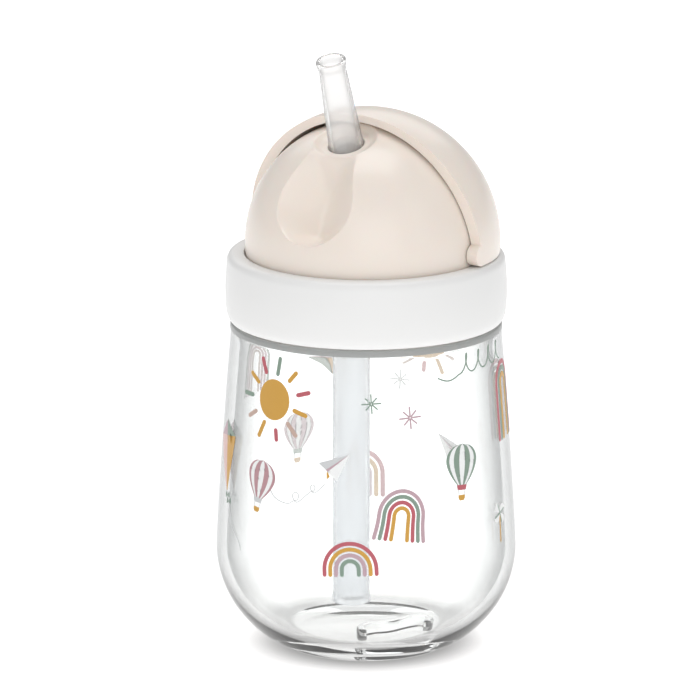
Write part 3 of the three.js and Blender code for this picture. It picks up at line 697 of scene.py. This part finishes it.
def make_dome(materials):
    columns = dome_columns()
    count = len(columns)
    centre = np.array(PIVOT)
    skirt, flange = 32.05 * MM, 35.2 * MM
    wall = 1.8 * MM
    flange_top, flange_bottom = 104.7 * MM, DOME_LOW.z
    outer_end = math.acos((RING_HIGH.z - PIVOT.z) / DOME_RADIUS)

    def sphere_ring(polar, surface):
        across, rise = math.sin(polar), math.cos(polar)
        direction = np.stack([across * np.cos(columns), across * np.sin(columns), np.full(count, rise)], 1)
        return direction * surface(direction)[:, None] + centre

    def flat_ring(radius, height):
        return np.stack([radius * np.cos(columns), radius * np.sin(columns), np.full(count, height)], 1)

    outer_rows, inner_rows = 150, 60
    rings = [sphere_ring(outer_end * row / outer_rows, dome_surface) for row in range(1, outer_rows + 1)]
    edges = rounded([(skirt, flange_top + 1 * MM), (skirt, flange_top), (flange, flange_top),
                     (flange, flange_bottom), (skirt - wall, flange_bottom),
                     (skirt - wall, flange_bottom + 2 * MM)], 0.25 * MM)
    rings += [flat_ring(*point) for point in edges]
    rings += [sphere_ring(math.pi / 2 * row / inner_rows, dome_inside) for row in range(inner_rows, 0, -1)]
    up = np.array([[1e-6, 0, 1.0]])
    poles = [up[0] * dome_surface(up) + centre, up[0] * dome_inside(up) + centre]
    vertices = [poles[0], *np.concatenate(rings), poles[1]]
    faces = []
    for column in range(count):
        after = (column + 1) % count
        faces.append((0, 1 + column, 1 + after))
        for row in range(len(rings) - 1):
            here, below = 1 + row * count, 1 + (row + 1) * count
            faces.append((here + column, below + column, below + after, here + after))
        last = 1 + (len(rings) - 1) * count
        faces.append((last + after, last + column, len(vertices) - 1))
    dome = link_mesh("dome", vertices, faces)
    clean(dome)
    hole_radius, hole_reach = SPOUT_ROOT_RADIUS + 0.3 * MM, 9 * MM
    hole = [(0, -hole_reach), (hole_radius, -hole_reach), (hole_radius, hole_reach), (0, hole_reach)]
    hole_place = Matrix.Translation(PIVOT + Vector(HOLE)) @ Matrix.Rotation(SPOUT_TILT, 4, "X")
    boolean(dome, round_tool(hole, hole_place, TUBE_STEPS * 2), "DIFFERENCE")
    socket = [(0, 27 * MM), (2 * MM, 27 * MM), (2 * MM, 34 * MM), (0, 34 * MM)]
    for side in (-1, 1):
        boolean(dome, round_tool(socket, along_hinge(side)), "DIFFERENCE")
    clean(dome, sharp_angle=35)
    finish_piece(dome, "lid_core", ["dome_shell"], materials["blush"])


# ---- Visor ----

def make_visor(materials):
    """A shell built along turns around the hinge axis, from its front edge to the cut above the ring."""
    bore = 32.6 * MM
    lean = math.radians(9)
    knuckle = 2.8 * MM
    gap = 0.9 * MM                # how far the inner face opens towards the middle of the front edge
    edge_fade = math.radians(14.5)
    pocket_depth = 2.45 * MM      # room in the inner face for the folded mouthpiece's knee
    pocket_turn, pocket_reach = math.radians(49.7), math.radians(15)
    floor = VISOR_LOW.z - PIVOT.z
    rows, columns, free = 96, 150, 56
    vertices, faces = [], []

    def around(radius_from_axis, turn, x):
        """A point at a turn around the hinge axis, counted from upright towards the back."""
        return (x, radius_from_axis * math.sin(turn), PIVOT.z + radius_from_axis * math.cos(turn))

    def last_turn(radius_from_axis):
        return math.pi / 2 + math.asin(min(1, -floor / radius_from_axis))

    def hollow(turn, tilt):
        """How deep the inner face is hollowed at a turn and a tilt: at its front edge and in the pocket."""
        edge = max(0, 1 - (turn + lean) / edge_fade) * math.cos(tilt) ** 3
        off_middle = math.hypot(turn - pocket_turn, tilt) / pocket_reach
        pocket = math.cos(math.pi / 2 * min(1, off_middle)) ** 2
        return gap * edge + pocket_depth * pocket

    def shell(radius):
        """Indices of a grid over one face of the shell, as index[column][row]."""
        limit = math.acos(knuckle / radius)
        index = []
        for column in range(columns + 1):
            tilt = -limit + 2 * limit * column / columns
            line = []
            for row in range(rows + 1):
                turn = -lean + (last_turn(radius * math.cos(tilt)) + lean) * row / rows
                face_radius = radius + (hollow(turn, tilt) if radius == bore else 0)
                from_axis = max(face_radius * math.cos(tilt), knuckle)
                line.append(len(vertices))
                vertices.append(around(from_axis, turn, face_radius * math.sin(tilt)))
            index.append(line)
        return index

    def knuckle_ring(radius, side):
        """The free part of the knuckle's circle, from the shell's last row round to its first."""
        x = side * radius * math.sin(math.acos(knuckle / radius))
        start, end = last_turn(knuckle), 2 * math.pi - lean
        line = []
        for step in range(1, free):
            line.append(len(vertices))
            vertices.append(around(knuckle, start + (end - start) * step / free, x))
        return line

    def disc(rim, radius, side, flip):
        """Fills a knuckle's circle with rings that follow the sphere."""
        previous = rim
        for share in (0.75, 0.5, 0.25):
            ring = []
            for vertex in rim:
                y, z = vertices[vertex][1] * share, (vertices[vertex][2] - PIVOT.z) * share
                x = side * math.sqrt(radius ** 2 - y * y - z * z)
                ring.append(len(vertices))
                vertices.append((x, y, z + PIVOT.z))
            for a in range(len(rim)):
                b = (a + 1) % len(rim)
                quad = (previous[a], previous[b], ring[b], ring[a])
                faces.append(quad[::-1] if flip else quad)
            previous = ring
        middle = len(vertices)
        vertices.append((side * radius, 0, PIVOT.z))
        for a in range(len(rim)):
            b = (a + 1) % len(rim)
            triangle = (previous[a], previous[b], middle)
            faces.append(triangle[::-1] if flip else triangle)

    grids = {}
    for radius in (VISOR_RADIUS, bore):
        grid = shell(radius)
        free_rings = {side: knuckle_ring(radius, side) for side in (-1, 1)}
        grids[radius] = (grid, free_rings)
        for column in range(columns):
            for row in range(rows):
                faces.append((grid[column][row], grid[column + 1][row],
                              grid[column + 1][row + 1], grid[column][row + 1]))
        for side, edge in ((-1, grid[0]), (1, grid[-1])):
            disc([*edge, *free_rings[side]], radius, side, side > 0)
    outer, outer_free = grids[VISOR_RADIUS]
    inner, inner_free = grids[bore]

    def wall(outer_line, inner_line):
        for a in range(len(outer_line) - 1):
            faces.append((outer_line[a], outer_line[a + 1], inner_line[a + 1], inner_line[a]))

    wall([line[0] for line in outer], [line[0] for line in inner])
    wall([line[-1] for line in outer], [line[-1] for line in inner])
    for side, column in ((-1, 0), (1, -1)):
        wall([outer[column][-1], *outer_free[side], outer[column][0]],
             [inner[column][-1], *inner_free[side], inner[column][0]])
    visor = link_mesh("visor_shell", vertices, faces)
    clean(visor)
    bevel = visor.modifiers.new("edge_round", "BEVEL")
    bevel.width = 0.45 * MM
    bevel.segments = 3
    bevel.limit_method = "ANGLE"
    bevel.angle_limit = math.radians(50)
    bevel.use_clamp_overlap = True
    apply_modifiers(visor)
    pin = [(0, 29.4 * MM), (1.5 * MM, 29.4 * MM), (1.7 * MM, 29.8 * MM),
           (1.7 * MM, 33.4 * MM), (0, 33.4 * MM)]
    for side in (-1, 1):
        boolean(visor, round_tool(pin, along_hinge(side)), "UNION")
    clean(visor, sharp_angle=38)
    finish_piece(visor, "visor_body", ["visor"], materials["blush"])


# ---- Mouthpiece and straw ----

def tube_along(name, stations):
    """A tube through stations of (centre, axis, radius), listed up the outside and down the inside."""
    vertices = []
    side = Vector((1, 0, 0))
    for centre, axis, radius in stations:
        radius = float(radius)
        forward = Vector(axis).normalized().cross(side)
        for column in range(TUBE_STEPS):
            turn = 2 * math.pi * column / TUBE_STEPS
            vertices.append(Vector(centre) + radius * (math.cos(turn) * side + math.sin(turn) * forward))
    piece = link_mesh(name, vertices, ring_faces(len(stations), TUBE_STEPS, closed=True))
    clean(piece)
    return piece


def spout_centreline():
    """Where the mouthpiece runs: up from the straw, through an elbow and out along its lean.

    Gives a function of the distance from the hole's pad, positive outside."""
    hole = Vector(HOLE) + PIVOT
    axis = Vector(SPOUT_AXIS)
    arm = (STRAW_Y - hole.y) / math.sin(SPOUT_TILT)
    elbow = hole - axis * arm
    bend = 5 * MM

    def at(distance):
        distance = float(distance)
        if distance > -arm + bend:
            return hole + axis * distance, axis
        if distance < -arm - bend:
            return elbow + Vector((0, 0, distance + arm)), Vector((0, 0, 1))
        t = (distance + arm + bend) / (2 * bend)
        start = elbow - Vector((0, 0, bend))
        end = elbow + axis * bend
        point = start * (1 - t) ** 2 + elbow * (2 * t * (1 - t)) + end * t * t
        direction = Vector((elbow - start) * (1 - t) + (end - elbow) * t)
        return point, direction.normalized()
    return at


def make_mouthpiece(materials):
    at = spout_centreline()
    hole_height = PIVOT.z + HOLE[2]
    bottom = SPOUT_LOW.z - hole_height
    sleeve, sleeve_bore = 6.6 * MM, 5.2 * MM
    collar = 8 * MM
    slope = (SPOUT_ROOT_RADIUS - SPOUT_TIP_RADIUS) / (SPOUT_LENGTH - 3.2 * MM)
    collar_low, collar_high = 110.3 * MM - hole_height, 111.8 * MM - hole_height
    seat = 114.3 * MM - hole_height
    top = SPOUT_LENGTH
    lip = 1.6 * MM
    flare = 0.38 * MM
    mouth = SPOUT_TIP_RADIUS + flare - 1 * MM

    fold_at = (FOLD - PIVOT - Vector(HOLE)).dot(Vector(SPOUT_AXIS))
    kink = (fold_at - 2 * MM, fold_at + 4.5 * MM)      # no rings in between: the tube kinks flat there

    def radius_at(distance):
        return SPOUT_ROOT_RADIUS - slope * max(0, distance)

    outside = [(bottom, sleeve - 0.4 * MM), (bottom + 0.4 * MM, sleeve), (collar_low, sleeve)]
    outside += [(collar_low, collar), (collar_high, collar), (collar_high + 0.3 * MM, sleeve)]
    outside += [(117 * MM - hole_height, sleeve), (120 * MM - hole_height, SPOUT_ROOT_RADIUS)]
    start = 121 * MM - hole_height
    outside += [(d, SPOUT_ROOT_RADIUS) for d in np.linspace(start, -0.5 * MM, 22)]
    outside += [(d, radius_at(d)) for d in np.linspace(0, top - 2 * lip, 44)
                if not kink[0] < d < kink[1]]
    for share in np.linspace(0, 1, 10)[1:]:
        widening = flare * share * share * (3 - 2 * share)
        outside.append((top - lip * (2 - share * 1.4), SPOUT_TIP_RADIUS + widening))
    rim_middle = (SPOUT_TIP_RADIUS + flare + mouth) / 2
    rim_half = (SPOUT_TIP_RADIUS + flare - mouth) / 2
    for angle in np.linspace(0, math.pi, 9):
        outside.append((top - rim_half * (1 - math.sin(angle)), rim_middle + rim_half * math.cos(angle)))
    bore_slope = (SPOUT_BORE - mouth) / SPOUT_LENGTH
    inside = [(d, mouth + bore_slope * (top - d)) for d in np.linspace(top - 1.2 * MM, 0, 40)
               if not kink[0] < d < kink[1]]
    inside += [(d, SPOUT_BORE) for d in np.linspace(-0.7 * MM, seat + 0.2 * MM, 24)]
    inside += [(seat, sleeve_bore), (bottom + 0.3 * MM, sleeve_bore), (bottom, sleeve_bore + 0.3 * MM)]
    stations = [(*at(distance), radius) for distance, radius in [*outside, *inside]]
    spout = tube_along("mouthpiece_tube", stations)
    clean(spout, sharp_angle=40)
    let_light_through(spout)
    spout.data.materials.append(materials["silicone"])
    start, end = [PIVOT + Vector(HOLE) + Vector(SPOUT_AXIS) * distance for distance in kink]
    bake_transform(spout)
    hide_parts("spout_base", "spout_tip")


def make_straw(materials):
    radius, bore = 4.88 * MM, 3.65 * MM
    flare = 0.25 * MM
    low, high = STRAW_LOW.z, STRAW_HIGH.z
    profile = rounded([
        (bore + 0.1 * MM, low + 20 * MM), (bore + 0.25 * MM, low), (radius + flare, low),
        (radius + flare, low + 1.6 * MM), (radius, low + 2.8 * MM), (radius, high), (bore, high),
        (bore + 0.1 * MM, low + 20 * MM)], 0.3 * MM)
    straw = turned("straw", profile[:-1], TUBE_STEPS, centre=(0, STRAW_Y))
    clean(straw, sharp_angle=40)
    let_light_through(straw)
    finish_piece(straw, "lid_core", ["straw_tube"], materials["straw"])


def dress_inner_nodes(materials):
    """The CAD pieces inside the lid keep their shape and take a real material."""
    for name, material in (("lid_base", "blush"), ("lid_gasket", "silicone"), ("vent_valve", "silicone")):
        node = frame["nodes"][name]
        node.data.materials.clear()
        node.data.materials.append(materials[material])


# ---- Print on the cup: thin slabs of ink that follow the cup's side ----

INK_NEAR, INK_FAR = 0.03 * MM, 0.11 * MM      # the ink's two faces, out from the cup's side
INK_LAYER = 0.004 * MM                        # how much further out each later band lies
INK_COLUMNS = 4                               # divisions across a band


def upright(low, high, steps):
    """Evenly spread values as a list."""
    return list(np.linspace(low, high, steps))


class Motif:
    """A small drawing made of coloured bands, wrapped on the cup around one point.

    Drawing units are half of the motif's width. turn is degrees from the drinking side towards +X."""

    def __init__(self, name, turn, height, width, tilt=0.0):
        self.name = name
        self.turn = math.radians(turn - 90)
        self.height = height * MM
        self.unit = width / 2 * MM
        self.tilt = math.radians(tilt)
        self.bands = []

    def band(self, ink, left, right):
        """Fills between two lines of points."""
        self.bands.append((ink, np.array(left, float), np.array(right, float)))

    def disc(self, ink, centre, radius, tall=1.0):
        angles = np.linspace(0.1, math.pi - 0.1, 17)
        across = radius * np.sin(angles)
        level = centre[1] + tall * radius * np.cos(angles)
        self.band(ink, np.stack([centre[0] - across, level], 1), np.stack([centre[0] + across, level], 1))

    def stroke(self, ink, points, width):
        """A line of even width with round ends."""
        points = np.array(points, float)
        along = np.gradient(points, axis=0)
        along /= np.linalg.norm(along, axis=1)[:, None]
        radius = width / 2
        angles = np.radians([80, 60, 30])
        start = points[0] - radius * np.outer(np.sin(angles), along[0])
        end = points[-1] + radius * np.outer(np.sin(angles[::-1]), along[-1])
        cap = radius * np.cos(angles)
        half = np.concatenate([cap, np.full(len(points), radius), cap[::-1]])
        points = np.vstack([start, points, end])
        along = np.vstack([np.repeat(along[:1], 3, 0), along, np.repeat(along[-1:], 3, 0)])
        across = np.stack([-along[:, 1], along[:, 0]], 1) * half[:, None]
        self.band(ink, points + across, points - across)

    def ray(self, ink, angle, start, end, width):
        """A short straight stroke away from the middle."""
        points = [(r * math.cos(angle), r * math.sin(angle)) for r in upright(start, end, 4)]
        self.stroke(ink, points, width)

    def wrap(self, points, out):
        """Drawing points turned onto the cup, at a distance out from its side."""
        x, y = points.T * self.unit
        u = x * math.cos(self.tilt) - y * math.sin(self.tilt)
        v = x * math.sin(self.tilt) + y * math.cos(self.tilt)
        turn = self.turn + u / cup_radius(self.height)
        radius = np.array([cup_radius(self.height + rise) for rise in v]) + out
        return np.stack([radius * np.cos(turn), radius * np.sin(turn), self.height + v], 1)

    def build(self, inks):
        vertices, faces, slots = [], [], []
        names = sorted({ink for ink, _, _ in self.bands})
        columns = INK_COLUMNS
        for layer, (ink, left, right) in enumerate(self.bands):
            first, rows = len(vertices), len(left)
            shares = np.linspace(0, 1, columns + 1)[None, :, None]
            grid = (left[:, None] * (1 - shares) + right[:, None] * shares).reshape(-1, 2)
            sizes = (len(grid), columns + 1, 1)
            vertices.extend(self.wrap(grid, INK_NEAR))
            vertices.extend(self.wrap(grid, INK_FAR + layer * INK_LAYER))
            front = 2 * names.index(ink)

            def quad(slot, *corners):
                """One face. Each corner is a side (0 near the cup, 1 far), a row and a column."""
                faces.append(tuple(first + int(np.dot(corner, sizes)) for corner in corners))
                slots.append(slot)

            for row in range(rows - 1):
                for column in range(columns):
                    for side in (0, 1):
                        quad(front + 1 - side, (side, row, column), (side, row, column + 1),
                             (side, row + 1, column + 1), (side, row + 1, column))
                for column in (0, columns):
                    quad(front, (0, row, column), (1, row, column),
                         (1, row + 1, column), (0, row + 1, column))
            for row in (0, rows - 1):
                for column in range(columns):
                    quad(front, (0, row, column), (1, row, column),
                         (1, row, column + 1), (0, row, column + 1))
        piece = link_mesh(f"print_{self.name}", vertices, faces)
        for ink in names:
            for material in inks[ink]:
                piece.data.materials.append(material)
        piece.data.polygons.foreach_set("material_index", slots)
        clean(piece)
        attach(piece, "cup_body")


def rainbow(name, turn, height, width, tall, inks, tilt=0, lean=0.0):
    """Round arches on short legs, one inside the other. tall is the height of the outer arch."""
    motif = Motif(name, turn, height, width, tilt)
    step = 0.84 / len(inks)
    leg = max(0.06, tall - 1)
    for i, ink in enumerate(inks):
        half = 0.93 - i * step
        crown = half * (1 - lean)
        right_leg = [(half + (crown - half) * math.sin(math.pi / 2 * share), leg * share)
                     for share in upright(0, 1, 8)[:-1]]
        arch = [(crown * math.cos(angle), leg + half * math.sin(angle)) for angle in upright(0, math.pi, 27)]
        left_leg = [(-x, y) for x, y in reversed(right_leg)]
        motif.stroke(ink, [*right_leg, *arch, *left_leg], step * 0.68)
    return motif


def balloon(name, turn, height, width, ink, basket, skirt, tilt=0):
    """A balloon with four dark and three pale gores, a skirt, two ropes and a basket."""
    motif = Motif(name, turn, height, width, tilt)
    top, widest, bottom = 1.1, 0.25, -1.05
    levels = upright(top, bottom, 19)

    def half_width(level):
        if level > widest:
            return math.sqrt(max(0.0, 1 - ((level - widest) / (top - widest)) ** 2)) + 0.03
        return 1.03 - 0.74 * ((widest - level) / (widest - bottom)) ** 1.7

    gores = 7
    shares = upright(0, 1, gores + 1)
    edges = [0.6 * math.sin(math.pi * (share - 0.5)) + 0.4 * (2 * share - 1) for share in shares]
    for k in range(gores):
        left = [(edges[k] * half_width(level), level) for level in levels]
        right = [(edges[k + 1] * half_width(level), level) for level in levels]
        motif.band(ink if k % 2 == 0 else "white", left, right)
    motif.band(skirt, [(-0.32, -1.05), (-0.27, -1.32)], [(0.32, -1.05), (0.27, -1.32)])
    for side in (-1, 1):
        motif.stroke("white", [(0.22 * side, -1.32), (0.19 * side, -1.45), (0.17 * side, -1.58)], 0.07)
    rim = [(0.21, -1.58), (0.2, -1.75), (0.12, -1.86)]
    motif.band(basket, [(-x, y) for x, y in rim], rim)
    return motif


def sun(name, turn, height, width):
    motif = Motif(name, turn, height, width)
    motif.disc("ochre", (0, 0), 0.42, tall=1.06)
    rays = ["sage", "ochre", "brick", "ochre", "tan", "brick", "ochre", "tan", "sage", "ochre", "brick"]
    for i, ink in enumerate(rays):
        angle = math.radians(82) - 2 * math.pi * i / len(rays)
        start, end = 0.58 + 0.04 * (i % 3), 0.92 - 0.06 * (i % 2)
        motif.ray(ink, angle, start, end, 0.095)
    return motif


def star(name, turn, height, width, ink):
    motif = Motif(name, turn, height, width)
    arms = 8
    for i in range(arms):
        angle = 2 * math.pi * i / arms + 0.06
        reach = 0.92 - 0.16 * (i % 2)
        motif.ray(ink, angle, 0.12, reach, 0.13)
    return motif


def kite(name, turn, height, width, inks, tilt=0, drop=1.6, tail=True):
    """Four panels and a fine tail with two bows. inks go down the left side, then down the right."""
    motif = Motif(name, turn, height, width, tilt)
    middle = 0.3
    top, bottom = middle + 0.7, middle - drop
    shares = upright(0, 1, 7)
    for side, (upper, lower) in ((-1, inks[:2]), (1, inks[2:])):
        motif.band(upper, [(0, top + (middle - top) * t) for t in shares],
                   [(side * t, top + (middle - top) * t) for t in shares])
        motif.band(lower, [(0, middle + (bottom - middle) * t) for t in shares],
                   [(side * (1 - t), middle + (bottom - middle) * t) for t in shares])
    if tail:
        path = [(1.1 * t + 0.2 * t * math.sin(9 * t), bottom - 2.6 * t) for t in upright(0, 1, 30)]
        motif.stroke("mist", path, 0.035)
        for at in (2, 5):
            x, y = path[at]
            for side in (-1, 1):
                end = x + side * 0.2
                motif.band("sage", [(x, y), (end, y + 0.15)], [(x, y - 0.02), (end, y - 0.12)])
    return motif


def loop(centre, radius):
    """Points of a small curl at the foot of a line that runs to the left."""
    angles = [math.radians(270 - 60 * k) for k in range(7)]
    return [(centre[0] + radius * math.cos(a) - 0.06 * k, centre[1] + radius * math.sin(a))
            for k, a in enumerate(angles)]


def paper_plane(name, turn, height, width, tilt=0, trail=True):
    motif = Motif(name, turn, height, width, tilt)
    nose = np.array([1, 0.86])
    shares = upright(0, 0.97, 7)

    def sheet(ink, a, b):
        motif.band(ink, [nose * t + np.array(a) * (1 - t) for t in shares],
                   [nose * t + np.array(b) * (1 - t) for t in shares])

    sheet("mist", (-0.98, 0.22), (-0.5, -0.18))
    sheet("white", (-0.38, -0.3), (0.22, -0.88))
    sheet("mauve", (-0.5, -0.18), (-0.38, -0.3))
    motif.band("ochre", [(-0.44, -0.28), (-0.42, -0.78)], [(-0.34, -0.36), (-0.24, -0.62)])
    if trail:
        route = [(-0.55, -1.1), *loop((-1.15, -1.45), 0.24), *loop((-2.3, -2.1), 0.3),
                 (-3.1, -2.6), (-4, -2.35), (-4.6, -1.6)]
        motif.stroke("mist", spline(route, 200), 0.05)
    return motif


def squiggle(name, turn, height, width, ink, loops, tilt=0):
    """A row of tall leaning loops like handwriting, after a short run-in."""
    motif = Motif(name, turn, height, width, tilt)
    points = []
    for t in upright(-0.33, 1, 34 * loops):
        swing = 2 * math.pi * loops * max(0, t)
        rise = 0.235 * (1 - math.cos(swing))
        dip = 0.1 * math.sin(math.pi * max(0, -t) / 0.33)
        points.append((-0.6 + 1.86 * t + 0.11 * math.sin(swing) + 0.12 * rise, rise - dip))
    motif.stroke(ink, points, 0.033)
    return motif


def pinwheel(name, turn, height, width, ink):
    motif = Motif(name, turn, height, width)
    motif.stroke("ochre", [(0, y) for y in upright(-0.2, -2.4, 5)], 0.14)
    for i in range(4):
        angle = math.pi / 2 * i + 0.35
        out = np.array([math.cos(angle), math.sin(angle)])
        across = np.array([-out[1], out[0]])
        shares = upright(0.1, 1, 6)
        motif.band("white", [out * t for t in shares],
                   [out * t + across * 0.55 * math.sin(2.7 * t) for t in shares])
        motif.stroke(ink, [out * t for t in upright(0.1, 0.8, 4)], 0.12)
    return motif


def make_print():
    inks = make_print_materials()
    motifs = [
        sun("sun_front", -10, 73.3, 24.5),
        balloon("balloon_left", -14.9, 51.3, 9.6, "rosewood", "ochre", "mist", -8),
        rainbow("rainbow_low", 25, 28.7, 14.9, 1.2, ["brick", "ochre", "mauve", "sage"], 2.5),
        rainbow("rainbow_mid", 43.5, 37.9, 14.5, 1.88, ["mauve", "sage", "brick", "ochre"], -7, lean=0.1),
        balloon("balloon_right", 72, 55.9, 10.2, "sage", "ochre", "brick", -4),
        star("star_green", 33, 74.4, 5.4, "sage"),
        star("star_mauve", 48.9, 70.3, 6.2, "mauve"),
        paper_plane("plane_front", 18, 57.3, 8.4),
        kite("kite_left", -42.5, 57.5, 11.8, ["mauve", "blush", "sage", "ochre"], 9, drop=2.5),
        squiggle("squiggle_right", 83, 80.1, 22, "sage", 4, 1),
        rainbow("rainbow_side", 107.5, 59, 12, 3.4, ["brick", "sage", "ochre"]),
        pinwheel("pinwheel_right", 94.5, 39.7, 6.4, "sage"),
        balloon("balloon_back", 241, 49.5, 9.7, "mauve", "ochre", "sage"),
        rainbow("rainbow_back", 213, 30, 13.4, 1.9, ["brick", "ochre", "mauve"]),
        kite("kite_back", 228.5, 72, 11.5, ["rosewood", "ochre", "mauve", "sage"], -14, tail=False),
        sun("sun_back", 182.6, 77, 24.5),
        star("star_back", 196, 63.2, 6, "mist"),
        paper_plane("plane_back", 173, 45.6, 8, trail=False),
        rainbow("rainbow_far", 271, 64.2, 15, 2.3, ["sage", "mauve", "rosewood", "tan"]),
    ]
    for motif in motifs:
        motif.build(inks)


# ---- Assembly ----

add_camera()
add_floor()
add_lights()
scene = bpy.context.scene
scene.view_settings.view_transform = "Standard"
scene.cycles.max_bounces = 32
scene.cycles.transmission_bounces = 28
scene.cycles.transparent_max_bounces = 24
scene.cycles.glossy_bounces = 8
scene.cycles.caustics_reflective = False
scene.cycles.caustics_refractive = False

looks = make_materials()
make_cup(looks)
make_ring(looks)
make_dome(looks)
make_visor(looks)
make_mouthpiece(looks)
make_straw(looks)
dress_inner_nodes(looks)
make_print()
